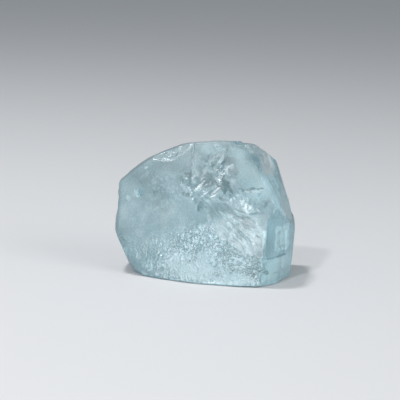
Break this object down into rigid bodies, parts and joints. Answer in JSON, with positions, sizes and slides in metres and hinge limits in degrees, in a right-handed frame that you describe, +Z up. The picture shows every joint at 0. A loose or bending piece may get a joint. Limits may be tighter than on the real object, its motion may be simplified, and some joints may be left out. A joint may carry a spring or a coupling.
{
  "type": "topaz crystal",
  "caption": "Stout broken pale blue topaz crystal that stands on a flat cleavage base, with smooth, stepped side faces and an etched front.",
  "frame": {"origin": "bottom centre of the bounding box, on the plane of the cleavage base", "axes": "+X along the crystal's long side, -Y towards the etched front, +Z up, along the prism axis"},
  "size_m": [0.0368, 0.022, 0.0279],
  "materials": {
    "topaz": "pale blue see-through stone, clouded inside by cracks and veils, with an etched, finely frosted skin and glassy chips"
  },
  "bodies": {
    "root": {"topaz_crystal": "topaz"}
  },
  "joints": []
}
